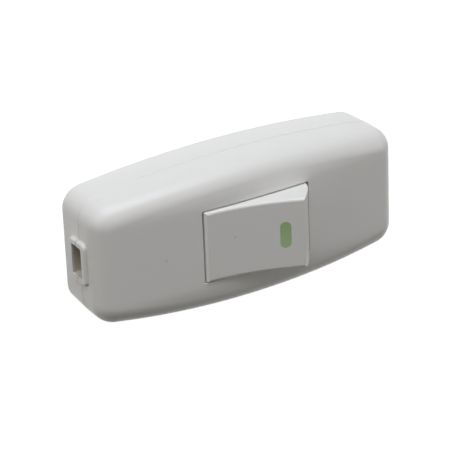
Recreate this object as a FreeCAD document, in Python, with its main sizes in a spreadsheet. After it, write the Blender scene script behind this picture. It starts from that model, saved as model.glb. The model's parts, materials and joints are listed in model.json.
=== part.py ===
"""Inline cord switch: a two-shell moulded case with a dished rocker over a seesaw contact.

X runs along the cord, Y across the case and Z from the flat back up to the rocker.
The rocker, plunger, spring and mark are drawn about the rocker's pivot, and the contact
lever and its rivet about the lever's fulcrum; each is then turned to its rest position.
"""
import FreeCAD, Part
import math
import os
import re

import Sketcher

# Driving dimensions in millimetres and degrees.
SIZES = {
    # Case
    "body_length": 60.0,
    "end_width": 21.4,
    "side_bulge": 2.15,
    "thickness": 14.8,
    "parting_height": 6.5,
    "crown_drop": 2.1,
    "wall": 1.8,
    "front_round": 3.8,
    "front_flat": 7.0,
    "shoulder_radius": 12.0,
    "corner_extra": 0.3,
    "least_round": 0.3,
    "back_round": 0.4,
    "back_draft": 3.0,
    "seam_chamfer": 0.12,
    "register_height": 1.0,
    "register_thickness": 0.8,
    "fit_gap": 0.1,
    # Cord inlets
    "slot_width": 5.8,
    "slot_depth": 3.3,
    "slot_corner": 0.4,
    "rim_wall": 1.05,
    "rim_reach": 0.75,
    "rim_corner": 1.0,
    "rim_edge": 0.45,
    "rim_seam": 0.06,
    # Rocker and its opening
    "opening_length": 21.1,
    "opening_width": 13.5,
    "opening_corner": 0.3,
    "opening_edge": 0.12,
    "rocker_gap": 0.37,
    "side_gap": 0.2,
    "pivot_depth": 3.9,
    "rocker_tilt": 15.5,
    "face_height": 5.78,
    "dish_radius": 43.0,
    "flank_angle": 26.0,
    "rocker_wall": 1.3,
    "rocker_skirt": 0.6,
    "rocker_edge": 0.5,
    "trunnion_radius": 1.2,
    "running_gap": 0.05,
    "ear_setback": 0.1,
    "ear_thickness": 1.5,
    "ear_half_width": 2.4,
    "ear_drop": 2.0,
    "snap_slot": 2.0,
    # Green mark
    "mark_width": 1.9,
    "mark_length": 4.9,
    "mark_place": 5.35,
    "mark_depth": 0.45,
    "mark_gap": 0.02,
    # Plunger and spring
    "plunger_radius": 1.5,
    "plunger_gap": 0.1,
    "plunger_shoulder": 0.2,
    "stem_radius": 0.7,
    "stem_length": 1.4,
    "socket_wall": 0.85,
    "socket_reach": 2.0,
    "socket_top": 3.0,
    "spring_wire": 0.35,
    "spring_radius": 1.1,
    "spring_turns": 4.0,
    # Contact lever and contacts
    "lever_height": 4.4,
    "lever_tilt": 8.0,
    "lever_under": 0.1,
    "lever_thickness": 1.2,
    "lever_width": 5.0,
    "lever_tail": 6.4,
    "heel_length": 1.2,
    "heel_gap": 0.25,
    "ridge_radius": 0.6,
    "contact_place": 5.8,
    "contact_radius": 1.3,
    "contact_drop": 0.35,
    "contact_edge": 0.2,
    "contact_gap": 0.08,
    "rivet_radius": 0.8,
    "rivet_head": 0.3,
    # Terminals
    "strip_thickness": 0.8,
    "strip_width": 4.8,
    "strip_end": 1.6,
    "cheek_thickness": 0.6,
    "cheek_gap": 0.2,
    "cheek_length": 2.8,
    "cheek_rise": 2.0,
    "block_size": 4.8,
    "block_height": 3.0,
    "terminal_place": 12.0,
    "live_offset": 2.8,
    "neutral_offset": 6.0,
    "link_width": 3.0,
    "link_offset": 8.4,
    # Moulded ribs of the contact chamber
    "rib_thickness": 0.8,
    "rib_gap": 1.3,
    "rib_height": 4.6,
    # Screws
    "thread_gap": 0.02,
    "terminal_screw_radius": 1.25,
    "terminal_head_radius": 2.2,
    "terminal_head_height": 1.5,
    "terminal_screw_length": 3.1,
    "washer_radius": 2.4,
    "washer_thickness": 0.5,
    "clamp_screw_radius": 1.1,
    "clamp_head_radius": 1.9,
    "clamp_head_height": 1.2,
    "clamp_screw_length": 6.5,
    "case_screw_radius": 1.3,
    "case_head_radius": 2.1,
    "case_head_height": 1.6,
    "case_head_recess": 0.6,
    "case_screw_length": 8.8,
    "head_gap": 0.15,
    "boss_wall": 0.8,
    "case_screw_offset": 6.6,
    "driver_slot": 0.6,
    "driver_depth": 0.6,
    # Cord clamps
    "cord_thickness": 2.6,
    "clamp_inset": 5.2,
    "clamp_length": 3.6,
    "clamp_half_width": 7.6,
    "clamp_thickness": 1.8,
    "clamp_screw_offset": 5.6,
    "clamp_rib": 0.35,
    "saddle_length": 2.0,
    "saddle_margin": 0.6,
}

# Formulas that several pieces share.
HALF = "(body_length / 2)"
SIDE_RADIUS = f"(({HALF}^2 + side_bulge^2) / (2 * side_bulge))"
SIDE_CENTRE = f"({SIDE_RADIUS} - end_width / 2 - side_bulge)"
CROWN_RADIUS = f"(({HALF}^2 + crown_drop^2) / (2 * crown_drop))"
CROWN_SWEEP = f"(3 * asin({HALF} / {CROWN_RADIUS}))"
FRONT_REACH = "(end_width / 2 + side_bulge + wall)"
CORNER = "(front_round + corner_extra)"
INNER_ROUND = "max(front_round - wall; least_round)"
PIVOT = "(thickness - pivot_depth)"
END_RISE = f"(pivot_depth - {CROWN_RADIUS} + sqrt({CROWN_RADIUS}^2 - (opening_length / 2)^2))"
WINDOW_RADIUS = f"(sqrt((opening_length / 2)^2 + {END_RISE}^2))"
ROCKER_RADIUS = f"({WINDOW_RADIUS} - rocker_gap)"
ROCKER_HALF = "(opening_width / 2 - side_gap)"
EAR_INNER = "(opening_width / 2 + ear_setback)"
EAR_OUTER = f"({EAR_INNER} + ear_thickness)"
SOCKET_BORE = "(plunger_radius + running_gap)"
TIP_CENTRE = f"({PIVOT} - lever_height - lever_under - lever_thickness - plunger_radius - plunger_gap)"
STRIP_TOP = "(wall + strip_thickness)"
BLOCK_TOP = "(wall + block_height)"
WASHER_TOP = f"({BLOCK_TOP} + washer_thickness)"
CONTACT_REACH = "(contact_place + contact_radius)"
CONTACT_TOP = (f"(lever_height - {CONTACT_REACH} * sin(lever_tilt)"
               " - contact_drop * cos(lever_tilt) - contact_gap)")
HEEL_DROP = f"((lever_height - lever_tail * sin(lever_tilt) - {STRIP_TOP} - heel_gap) / cos(lever_tilt))"
CLAMP_PLACE = f"({HALF} - clamp_inset)"
BLOCK_END = "(terminal_place + block_size / 2)"
CASE_SCREW_PLACE = f"(({BLOCK_END} + {CLAMP_PLACE} - clamp_length / 2) / 2)"
CLAMP_UNDER = "(parting_height + cord_thickness / 2)"
CLAMP_TOP = f"({CLAMP_UNDER} + clamp_thickness)"
RIM_HALF_WIDTH = "(slot_width / 2 + rim_wall)"
RIM_HALF_DEPTH = "(slot_depth / 2 + rim_wall)"
HEAD_SEAT = "(case_head_recess + case_head_height)"
BACK_BOSS = "(case_head_radius + head_gap + boss_wall)"
FRONT_BOSS = "(case_screw_radius + thread_gap + boss_wall)"
CLAMP_BOSS = "(clamp_screw_radius + thread_gap + boss_wall)"

NAMES = re.compile(r"\b(" + "|".join(SIZES) + r")\b")
ENDS = (("left", "-"), ("right", ""))
# Share of an edge or a face's normal that has to run along an axis for it to count as along it.
ALIGNED = 0.9

doc = FreeCAD.newDocument("inline_cord_switch")
sheet = doc.addObject("Spreadsheet::Sheet", "Sizes")
for row, (alias, number) in enumerate(SIZES.items(), start=1):
    sheet.set(f"A{row}", alias)
    sheet.set(f"B{row}", str(number))
    sheet.setAlias(f"B{row}", alias)
doc.recompute()


def bind(item, prop, formula):
    """Tie a property to a formula whose words are the sheet's aliases."""
    item.setExpression(prop, NAMES.sub(r"Sizes.\1", formula))


def new_body(label):
    """A body that may hold several separate solids."""
    body = doc.addObject("PartDesign::Body", label)
    body.Label = label
    body.AllowCompound = True
    return body


def feature(body, kind, name, **formulas):
    """A PartDesign feature with its sizes tied to formulas."""
    item = body.newObject("PartDesign::" + kind, name)
    for prop, formula in formulas.items():
        bind(item, prop, formula)
    return item


def place(item, x, y, z):
    """Tie a primitive's or body's position to formulas."""
    for axis, formula in zip("xyz", (x, y, z)):
        bind(item, "Placement.Base." + axis, formula)


def block(body, name, x, y, z, cut=False):
    """Box between a low and a high formula along each axis."""
    spans = {prop: f"({high}) - ({low})" for prop, (low, high)
             in zip(("Length", "Width", "Height"), (x, y, z))}
    item = feature(body, "SubtractiveBox" if cut else "AdditiveBox", name, **spans)
    place(item, x[0], y[0], z[0])
    return item


def post(body, name, radius, x, y, z, cut=False):
    """Upright cylinder between two heights."""
    kind = "SubtractiveCylinder" if cut else "AdditiveCylinder"
    item = feature(body, kind, name, Radius=radius, Height=f"({z[1]}) - ({z[0]})")
    place(item, x, y, z[0])
    return item


def pin(body, name, radius, x, y, z, cut=False):
    """Cylinder that lies along Y between two formulas."""
    kind = "SubtractiveCylinder" if cut else "AdditiveCylinder"
    item = feature(body, kind, name, Radius=radius, Height=f"({y[1]}) - ({y[0]})")
    item.Placement.Rotation = FreeCAD.Rotation(FreeCAD.Vector(1, 0, 0), -90)
    place(item, x, y[0], z)
    return item


def boolean(body, name, kind, tools):
    """Cut, fuse or intersect a body with other bodies."""
    item = body.newObject("PartDesign::Boolean", name)
    item.Type = kind
    item.setObjects(tools)
    doc.recompute()
    return item


def sketch_on(body, name, role, offset="0"):
    """Sketch on one of the body's own origin planes, moved along its normal."""
    sketch = body.newObject("Sketcher::SketchObject", name)
    origin = next(item for item in body.Origin.OriginFeatures if item.Role == role)
    sketch.AttachmentSupport = [(origin, "")]
    sketch.MapMode = "FlatFace"
    bind(sketch, "AttachmentOffset.Base.z", offset)
    return sketch


def chain(sketch, shapes):
    """Draw shapes end to end as one closed loop."""
    count = len(shapes)
    sketch.addGeometry(shapes, False)
    for index in range(count):
        sketch.addConstraint(Sketcher.Constraint("Coincident", index, 2, (index + 1) % count, 1))


def measure(sketch, formula, *constraint):
    """Add a dimension and tie it to a formula."""
    index = sketch.addConstraint(Sketcher.Constraint(*constraint))
    bind(sketch, f"Constraints[{index}]", formula)


def arc(x, y, radius, start, end):
    """Arc in a sketch, by its centre, radius and two angles in radians."""
    circle = Part.Circle(FreeCAD.Vector(x, y, 0), FreeCAD.Vector(0, 0, 1), radius)
    return Part.ArcOfCircle(circle, start, end)


def line(*points):
    """Straight line in a sketch between two points."""
    return Part.LineSegment(*(FreeCAD.Vector(x, y, 0) for x, y in points))


def barrel(body, name, height, inset):
    """Plan outline of the case: two bulged sides and two straight ends, moved in by an inset."""
    half = SIZES["body_length"] / 2
    corner = SIZES["end_width"] / 2
    bulge = SIZES["side_bulge"]
    radius = (half ** 2 + bulge ** 2) / (2 * bulge)
    centre = radius - corner - bulge
    angle = math.atan2(corner + centre, half)
    sketch = sketch_on(body, name, "XY_Plane", height)
    chain(sketch, [
        arc(0, -centre, radius, angle, math.pi - angle),
        line((-half, corner), (-half, -corner)),
        arc(0, centre, radius, math.pi + angle, 2 * math.pi - angle),
        line((half, -corner), (half, corner)),
    ])
    for side in (0, 2):
        sketch.addConstraint(Sketcher.Constraint("PointOnObject", side, 3, -2))
        measure(sketch, f"{SIDE_RADIUS} - ({inset})", "Radius", side, radius)
    for end in (1, 3):
        sketch.addConstraint(Sketcher.Constraint("Vertical", end))
    measure(sketch, SIDE_CENTRE, "DistanceY", 0, 3, -1, 1, centre)
    measure(sketch, SIDE_CENTRE, "DistanceY", -1, 1, 2, 3, centre)
    measure(sketch, f"{HALF} - ({inset})", "DistanceX", 1, 1, -1, 1, half)
    measure(sketch, f"{HALF} - ({inset})", "DistanceX", -1, 1, 3, 1, half)
    return sketch


def above_front(body, name, inset):
    """Region over the front's flat middle and round shoulders, drawn from the crown's axis."""
    flat = SIZES["front_flat"]
    shoulder = SIZES["shoulder_radius"]
    reach = SIZES["end_width"] / 2 + SIZES["side_bulge"] + SIZES["wall"]
    top = (SIZES["body_length"] / 2) ** 2 / (2 * SIZES["crown_drop"]) + SIZES["crown_drop"] / 2
    ceiling = top + SIZES["crown_drop"] + 2 * SIZES["wall"]
    turn = math.asin((reach - flat) / shoulder)
    low = top - shoulder * (1 - math.cos(turn))
    sketch = sketch_on(body, name, "YZ_Plane")
    bind(sketch, "AttachmentOffset.Base.y", f"thickness - {CROWN_RADIUS}")
    chain(sketch, [
        arc(flat, top - shoulder, shoulder, math.pi / 2 - turn, math.pi / 2),
        line((flat, top), (-flat, top)),
        arc(-flat, top - shoulder, shoulder, math.pi / 2, math.pi / 2 + turn),
        line((-reach, low), (-reach, ceiling)),
        line((-reach, ceiling), (reach, ceiling)),
        line((reach, ceiling), (reach, low)),
    ])
    for level in (1, 4):
        sketch.addConstraint(Sketcher.Constraint("Horizontal", level))
    for side in (3, 5):
        sketch.addConstraint(Sketcher.Constraint("Vertical", side))
    for shoulder_arc, end in ((0, 1), (2, 2)):
        sketch.addConstraint(Sketcher.Constraint("Vertical", shoulder_arc, 3, 1, end))
        measure(sketch, f"shoulder_radius - ({inset})", "Radius", shoulder_arc, shoulder)
    measure(sketch, "front_flat", "DistanceX", -1, 1, 1, 1, flat)
    measure(sketch, "front_flat", "DistanceX", 1, 2, -1, 1, flat)
    measure(sketch, f"{CROWN_RADIUS} - ({inset})", "DistanceY", -1, 1, 1, 1, top)
    measure(sketch, FRONT_REACH, "DistanceX", -1, 1, 5, 1, reach)
    measure(sketch, FRONT_REACH, "DistanceX", 3, 2, -1, 1, reach)
    measure(sketch, f"{CROWN_RADIUS} + crown_drop + 2 * wall", "DistanceY", -1, 1, 4, 1, ceiling)
    return sketch


def rocker_side(body, name, inset, bottom):
    """Side view of the rocker: dished face, flat foot, and ends that are round about the pivot.

    Each round end goes over into a straight flank below the lip, which keeps close to the
    opening's edge when that end is pressed.
    """
    reach = math.hypot(SIZES["opening_length"] / 2, SIZES["pivot_depth"])
    turn = math.radians(SIZES["flank_angle"])
    dish = SIZES["dish_radius"]
    centre = dish + SIZES["face_height"]
    skirt = SIZES["rocker_skirt"]
    foot = math.sqrt(reach ** 2 - skirt ** 2)
    fall = math.atan2(skirt, foot)
    waist = (reach * math.cos(turn), reach * math.sin(turn))
    crest = (reach ** 2 - dish ** 2 + centre ** 2) / (2 * centre)
    lip = waist[0] - (crest - waist[1]) * math.tan(turn)
    spread = math.asin(lip / dish)
    sketch = sketch_on(body, name, "XZ_Plane")
    sketch.addGeometry([
        arc(0, centre, dish, 1.5 * math.pi - spread, 1.5 * math.pi + spread),
        line((lip, crest), waist),
        arc(0, 0, reach, -fall, turn),
        line((foot, -skirt), (-foot, -skirt)),
        arc(0, 0, reach, math.pi - turn, math.pi + fall),
        line((-waist[0], waist[1]), (-lip, crest)),
    ], False)
    for first, first_end, second, second_end in ((0, 2, 1, 1), (2, 1, 3, 1), (3, 2, 4, 2), (5, 2, 0, 1)):
        sketch.addConstraint(Sketcher.Constraint("Coincident", first, first_end, second, second_end))
    for flank, flank_end, end, end_end in ((1, 2, 2, 2), (5, 1, 4, 1)):
        sketch.addConstraint(Sketcher.Constraint("Tangent", flank, flank_end, end, end_end))
        sketch.addConstraint(Sketcher.Constraint("Coincident", end, 3, -1, 1))
        measure(sketch, f"{ROCKER_RADIUS} - ({inset})", "Radius", end, reach)
        measure(sketch, f"({ROCKER_RADIUS} - ({inset})) * sin(flank_angle)",
                "DistanceY", -1, 1, flank, flank_end, waist[1])
    sketch.addConstraint(Sketcher.Constraint("Horizontal", 3))
    sketch.addConstraint(Sketcher.Constraint("PointOnObject", 0, 3, -2))
    measure(sketch, f"dish_radius + ({inset})", "Radius", 0, dish)
    measure(sketch, "dish_radius + face_height", "DistanceY", -1, 1, 0, 3, centre)
    measure(sketch, bottom, "DistanceY", 3, 1, -1, 1, skirt)
    return sketch


def edges_where(item, test):
    """Names of a feature's edges that pass a test."""
    doc.recompute()
    return [f"Edge{index}" for index, edge in enumerate(item.Shape.Edges, start=1) if test(edge)]


def chord(edge):
    """Vector from an edge's start to its end, as a share of its length."""
    return (edge.valueAt(edge.LastParameter) - edge.valueAt(edge.FirstParameter)) / edge.Length


def upright(edge):
    """Whether an edge stands up, or leans only by a draft."""
    return abs(chord(edge).z) > ALIGNED


def lengthwise(edge):
    """Whether an edge runs along X."""
    return abs(chord(edge).x) > ALIGNED


def rim(item, pick):
    """Edge names round a feature's highest (max) or lowest (min) face."""
    doc.recompute()
    face = pick(item.Shape.Faces, key=lambda own: own.CenterOfMass.z)
    return edges_where(item, lambda edge: any(edge.isSame(own) for own in face.Edges))


def looks_up(face):
    """Whether a face's middle looks up."""
    first_u, last_u, first_v, last_v = face.ParameterRange
    return face.normalAt((first_u + last_u) / 2, (first_v + last_v) / 2).z > ALIGNED


def front_rim(item):
    """Edge names round the crowned front, where its faces meet the walls."""
    doc.recompute()
    front = [edge for face in filter(looks_up, item.Shape.Faces) for edge in face.Edges]
    return edges_where(item, lambda edge: sum(edge.isSame(own) for own in front) == 1)


def round_off(body, name, base, edges, radius):
    """Fillet named edges of a feature."""
    item = feature(body, "Fillet", name, Radius=radius)
    item.Base = (base, edges)
    return item


def bevel(body, name, base, edges, size):
    """Chamfer named edges of a feature."""
    item = feature(body, "Chamfer", name, Size=size)
    item.Base = (base, edges)
    return item


def pad(body, name, sketch, length, middle=False):
    """Extrude a sketch along its normal, or evenly to both sides."""
    item = feature(body, "Pad", name, Length=length)
    item.Profile = sketch
    item.SideType = "Symmetric" if middle else "One side"
    return item


def pocket(body, name, sketch, length):
    """Cut a sketch out evenly to both sides."""
    item = feature(body, "Pocket", name, Length=length)
    item.Profile = sketch
    item.SideType = "Symmetric"
    return item


def turned_cut(body, name, sketch, angle):
    """Cut out a sketch turned about its own horizontal axis, evenly to both sides."""
    item = feature(body, "Groove", name, Angle=angle)
    item.Profile = sketch
    item.ReferenceAxis = (sketch, ["H_Axis"])
    item.Midplane = True
    return item


def prism(label, bottom, top, inset):
    """Upright block of the case's outline with its corners rounded."""
    body = new_body(label)
    outline = barrel(body, label + "_outline", bottom, inset)
    base = pad(body, label + "_pad", outline, f"({top}) - ({bottom})")
    corners = edges_where(base, upright)
    round_off(body, label + "_corners", base, corners, f"max({CORNER} - ({inset}); least_round)")
    return body


def front_form(label, inset, edge_round):
    """Crowned and rounded front of the case, moved in by an inset."""
    body = prism(label, "parting_height", "thickness + wall / 2", inset)
    crown = turned_cut(body, label + "_crown", above_front(body, label + "_profile", inset), CROWN_SWEEP)
    round_off(body, label + "_round", crown, front_rim(crown), edge_round)
    return body


def back_form(label):
    """Back of the case, drafted from the parting line down to its flat face."""
    body = prism(label, "0", "parting_height", "0")
    doc.recompute()
    straight = body.Tip
    levels = [face.CenterOfMass.z for face in straight.Shape.Faces]
    sides = [f"Face{index}" for index, level in enumerate(levels, start=1)
             if min(levels) < level < max(levels)]
    draft = feature(body, "Draft", label + "_draft", Angle="back_draft")
    draft.Base = (straight, sides)
    draft.NeutralPlane = (straight, [f"Face{levels.index(max(levels)) + 1}"])
    draft.Reversed = True
    soft = round_off(body, label + "_edge", draft, rim(draft, min), "back_round")
    bevel(body, label + "_seam", soft, rim(soft, max), "seam_chamfer")
    return body


def case_screw_places():
    """The two case screws, on opposite corners."""
    return (("left", f"-{CASE_SCREW_PLACE}", "case_screw_offset"),
            ("right", CASE_SCREW_PLACE, "-case_screw_offset"))


def clamp_screw_places(sign):
    """The two screws of one cord clamp."""
    return (("near", f"{sign}{CLAMP_PLACE}", "-clamp_screw_offset"),
            ("far", f"{sign}{CLAMP_PLACE}", "clamp_screw_offset"))


def along(sign, low, high):
    """Span along X on the right, or mirrored on the left."""
    return (f"-({high})", f"-({low})") if sign else (low, high)


def cord_slot(label, sign):
    """Cutter for one cord inlet."""
    body = new_body(label)
    core = block(body, label + "_core", along(sign, f"{HALF} - 2 * wall", f"{HALF} + 2 * rim_reach"),
                 ("-slot_width / 2", "slot_width / 2"),
                 ("parting_height - slot_depth / 2", "parting_height + slot_depth / 2"))
    round_off(body, label + "_corners", core, edges_where(core, lengthwise), "slot_corner")
    return body


def inlet_rim(label, sign, low, high):
    """Half of the raised rim round one cord inlet, between two heights."""
    body = new_body(label)
    core = block(body, label + "_core", along(sign, f"{HALF} - wall / 2", f"{HALF} + rim_reach"),
                 (f"-{RIM_HALF_WIDTH}", RIM_HALF_WIDTH),
                 (f"parting_height - {RIM_HALF_DEPTH}", f"parting_height + {RIM_HALF_DEPTH}"))
    rounded = round_off(body, label + "_corners", core, edges_where(core, lengthwise), "rim_corner")
    doc.recompute()
    pick = min if sign else max
    face = pick(rounded.Shape.Faces, key=lambda own: own.CenterOfMass.x)
    edges = edges_where(rounded, lambda edge: any(edge.isSame(own) for own in face.Edges))
    round_off(body, label + "_edge", rounded, edges, "rim_edge")
    block(body, label + "_trim", ("-body_length", "body_length"), ("-end_width", "end_width"),
          (low, high), cut=True)
    return body


def front_cover():
    """Front shell: crowned skin, rocker opening, bearing ears, screw bosses and half of each rim."""
    body = front_form("front_cover", "0", "front_round")
    bevel(body, "front_seam", body.Tip, rim(body.Tip, min), "seam_chamfer")
    boolean(body, "front_hollow", "Cut", [front_form("front_cavity", "wall", INNER_ROUND)])
    rebate = prism("front_rebate", "parting_height - fit_gap", "parting_height + register_height + fit_gap",
                   "wall - register_thickness - fit_gap")
    boolean(body, "front_rebate_cut", "Cut", [rebate])
    inside = new_body("front_inside")
    for side, low, high in (("near", f"-{EAR_OUTER}", f"-{EAR_INNER}"), ("far", EAR_INNER, EAR_OUTER)):
        block(inside, f"ear_{side}", ("-ear_half_width", "ear_half_width"), (low, high),
              (f"{PIVOT} - ear_drop", "thickness"))
    for side, x, y in case_screw_places():
        post(inside, f"front_boss_{side}", FRONT_BOSS, x, y, ("parting_height", "thickness"))
    boolean(inside, "front_inside_trim", "Common", [front_form("front_limit", "wall / 2", INNER_ROUND)])
    rims = [inlet_rim(f"front_rim_{end}", sign, "0", "parting_height + rim_seam") for end, sign in ENDS]
    boolean(body, "front_inside_join", "Fuse", [inside, *rims])
    window = new_body("rocker_window")
    core = pin(window, "window_core", WINDOW_RADIUS, "0", ("-opening_width / 2", "opening_width / 2"), PIVOT)
    sides = edges_where(core, lambda edge: edge.isClosed())
    round_off(window, "window_corners", core, sides, "opening_corner")
    slots = [cord_slot(f"front_slot_{end}", sign) for end, sign in ENDS]
    boolean(body, "front_openings", "Cut", [window, *slots])
    across = (f"-{EAR_OUTER} - fit_gap", f"{EAR_OUTER} + fit_gap")
    pin(body, "bearing_bore", "trunnion_radius + running_gap", "0", across, PIVOT, cut=True)
    block(body, "bearing_snap", ("-snap_slot / 2", "snap_slot / 2"), across,
          (f"{PIVOT} - 2 * ear_drop", PIVOT), cut=True)
    for side, x, y in case_screw_places():
        post(body, f"front_pilot_{side}", "case_screw_radius + thread_gap", x, y,
             ("0", f"{HEAD_SEAT} + case_screw_length + fit_gap"), cut=True)
    doc.recompute()
    skin = max(filter(looks_up, body.Tip.Shape.Faces), key=lambda own: own.Area)
    inner = [edge for wire in skin.Wires if not wire.isSame(skin.OuterWire) for edge in wire.Edges]
    edges = edges_where(body.Tip, lambda edge: any(edge.isSame(own) for own in inner))
    round_off(body, "opening_softening", body.Tip, edges, "opening_edge")
    return body


def back_cover():
    """Back shell: drafted tray with a register, screw bosses, clamp bosses, ribs and rim halves."""
    body = back_form("back_cover")
    boolean(body, "back_hollow", "Cut", [prism("back_cavity", "wall", "thickness", "wall")])
    register = prism("back_register", "parting_height - wall", "parting_height + register_height",
                     "wall - register_thickness")
    boolean(register, "register_hollow", "Cut", [prism("register_cavity", "0", "thickness", "wall")])
    inside = new_body("back_inside")
    for side, x, y in case_screw_places():
        post(inside, f"back_boss_{side}", BACK_BOSS, x, y, ("wall / 2", "parting_height - fit_gap"))
    boolean(inside, "back_inside_trim", "Common", [prism("back_limit", "0", "parting_height", "wall / 2")])
    for end, sign in ENDS:
        for side, x, y in clamp_screw_places(sign):
            post(inside, f"clamp_boss_{end}_{side}", CLAMP_BOSS, x, y, ("wall / 2", CLAMP_UNDER))
        saddle = along(sign, f"{CLAMP_PLACE} - saddle_length / 2", f"{CLAMP_PLACE} + saddle_length / 2")
        block(inside, f"saddle_{end}", saddle,
              ("-slot_width / 2 - saddle_margin", "slot_width / 2 + saddle_margin"),
              ("wall / 2", "parting_height - cord_thickness / 2"))
    rib_inner = "(lever_width / 2 + cheek_gap + cheek_thickness + rib_gap)"
    rib_reach = "(terminal_place - block_size / 2 - rib_gap / 4)"
    for side, low, high in (("near", f"-{rib_inner} - rib_thickness", f"-{rib_inner}"),
                            ("far", rib_inner, f"{rib_inner} + rib_thickness")):
        block(inside, f"chamber_rib_{side}", (f"-{rib_reach}", rib_reach), (low, high),
              ("wall / 2", "wall + rib_height"))
    rims = [inlet_rim(f"back_rim_{end}", sign, "parting_height - rim_seam", "2 * thickness")
            for end, sign in ENDS]
    boolean(body, "back_inside_join", "Fuse", [register, inside, *rims])
    boolean(body, "back_openings", "Cut", [cord_slot(f"back_slot_{end}", sign) for end, sign in ENDS])
    for side, x, y in case_screw_places():
        post(body, f"back_bore_{side}", "case_screw_radius + head_gap", x, y,
             ("-wall", "parting_height"), cut=True)
        post(body, f"back_recess_{side}", "case_head_radius + head_gap", x, y,
             ("-wall", HEAD_SEAT), cut=True)
    for end, sign in ENDS:
        for side, x, y in clamp_screw_places(sign):
            post(body, f"clamp_pilot_{end}_{side}", "clamp_screw_radius + thread_gap", x, y,
                 (f"{CLAMP_TOP} - clamp_screw_length - fit_gap", CLAMP_TOP), cut=True)
    return body


def about_pivot(body):
    """Put a body that is drawn about the rocker's pivot at its rest tilt."""
    body.Placement.Rotation = FreeCAD.Rotation(FreeCAD.Vector(0, -1, 0), SIZES["rocker_tilt"])
    place(body, "0", "0", PIVOT)
    bind(body, "Placement.Rotation.Angle", "rocker_tilt")
    return body


def about_fulcrum(body):
    """Put a body that is drawn about the lever's fulcrum at its rest tilt."""
    body.Placement.Rotation = FreeCAD.Rotation(FreeCAD.Vector(0, 1, 0), SIZES["lever_tilt"])
    place(body, "0", "0", "lever_height")
    bind(body, "Placement.Rotation.Angle", "lever_tilt")
    return body


def stadium(body, name, gap, z, cut=False):
    """Upright block with round ends, where the green mark lies."""
    half_width = f"(mark_width / 2 + {gap})"
    straight = "((mark_length - mark_width) / 2)"
    block(body, name + "_core", (f"mark_place - {half_width}", f"mark_place + {half_width}"),
          (f"-{straight}", straight), z, cut)
    for side, y in (("near", f"-{straight}"), ("far", straight)):
        post(body, f"{name}_end_{side}", half_width, "mark_place", y, z, cut)


def rocker():
    """Rocker cap: dished face, hollow underside, plunger socket, two trunnions and the mark's recess."""
    body = new_body("rocker")
    core = pad(body, "rocker_core", rocker_side(body, "rocker_outside", "0", "rocker_skirt"),
               f"2 * {ROCKER_HALF}", middle=True)
    round_off(body, "rocker_face_edge", core, rim(core, max), "rocker_edge")
    pocket(body, "rocker_hollow", rocker_side(body, "rocker_inside", "rocker_wall", "2 * rocker_skirt"),
           f"2 * ({ROCKER_HALF} - rocker_wall)")
    post(body, "socket_boss", f"{SOCKET_BORE} + socket_wall", "0", "0",
         ("-socket_reach", "face_height - rocker_wall / 2"))
    post(body, "socket_bore", SOCKET_BORE, "0", "0", ("-2 * socket_reach", "socket_top"), cut=True)
    for side, low, high in (("near", f"-{EAR_OUTER} + running_gap", f"-{ROCKER_HALF} + rocker_wall / 2"),
                            ("far", f"{ROCKER_HALF} - rocker_wall / 2", f"{EAR_OUTER} - running_gap")):
        pin(body, f"trunnion_{side}", "trunnion_radius", "0", (low, high), "0")
    stadium(body, "mark_recess", "mark_gap",
            ("face_height - mark_depth - mark_gap", "2 * face_height"), cut=True)
    return about_pivot(body)


def rocker_mark():
    """Green inlay, flush with the rocker's dished face."""
    body = new_body("rocker_mark")
    stadium(body, "mark", "0", ("face_height - mark_depth", "2 * face_height"))
    pin(body, "mark_face", "dish_radius", "0", ("-mark_length", "mark_length"),
        "dish_radius + face_height", cut=True)
    return about_pivot(body)


def plunger():
    """Round-nosed pin that slides in the rocker's socket, with a stem inside the spring."""
    body = new_body("plunger")
    post(body, "plunger_barrel", "plunger_radius", "0", "0", (f"-{TIP_CENTRE}", "-plunger_shoulder"))
    nose = feature(body, "AdditiveSphere", "plunger_nose", Radius="plunger_radius")
    place(nose, "0", "0", f"-{TIP_CENTRE}")
    post(body, "plunger_stem", "stem_radius", "0", "0",
         ("-2 * plunger_shoulder", "stem_length - plunger_shoulder"))
    return about_pivot(body)


def plunger_spring():
    """Coil spring between the plunger's shoulder and the end of its socket."""
    body = new_body("plunger_spring")
    sketch = sketch_on(body, "wire_section", "XZ_Plane")
    low = SIZES["spring_wire"] / 2 - SIZES["plunger_shoulder"]
    centre = FreeCAD.Vector(SIZES["spring_radius"], low, 0)
    sketch.addGeometry(Part.Circle(centre, FreeCAD.Vector(0, 0, 1), SIZES["spring_wire"] / 2), False)
    measure(sketch, "spring_wire / 2", "Radius", 0, SIZES["spring_wire"] / 2)
    measure(sketch, "spring_radius", "DistanceX", -1, 1, 0, 3, SIZES["spring_radius"])
    measure(sketch, "spring_wire / 2 + thread_gap - plunger_shoulder", "DistanceY", -1, 1, 0, 3, low)
    coil = body.newObject("PartDesign::AdditiveHelix", "coil")
    coil.Profile = sketch
    coil.ReferenceAxis = (sketch, ["V_Axis"])
    coil.Mode = "height-turns-angle"
    bind(coil, "Height", "socket_top + plunger_shoulder - spring_wire - 2 * thread_gap")
    bind(coil, "Turns", "spring_turns")
    return about_pivot(body)


def contact_lever():
    """Seesaw bar with a groove over the fulcrum, a rivet hole at one end and a heel at the other."""
    body = new_body("contact_lever")
    top = "lever_under + lever_thickness"
    across = ("-lever_width / 2", "lever_width / 2")
    block(body, "lever_bar", (f"-{CONTACT_REACH}", "lever_tail"), across, ("lever_under", top))
    block(body, "lever_heel", ("lever_tail - heel_length", "lever_tail"), across, (f"-{HEEL_DROP}", top))
    pin(body, "lever_groove", "ridge_radius + running_gap", "0", ("-lever_width", "lever_width"), "0",
        cut=True)
    post(body, "lever_hole", "rivet_radius + thread_gap", "-contact_place", "0", ("0", f"2 * ({top})"),
         cut=True)
    return about_fulcrum(body)


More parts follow.
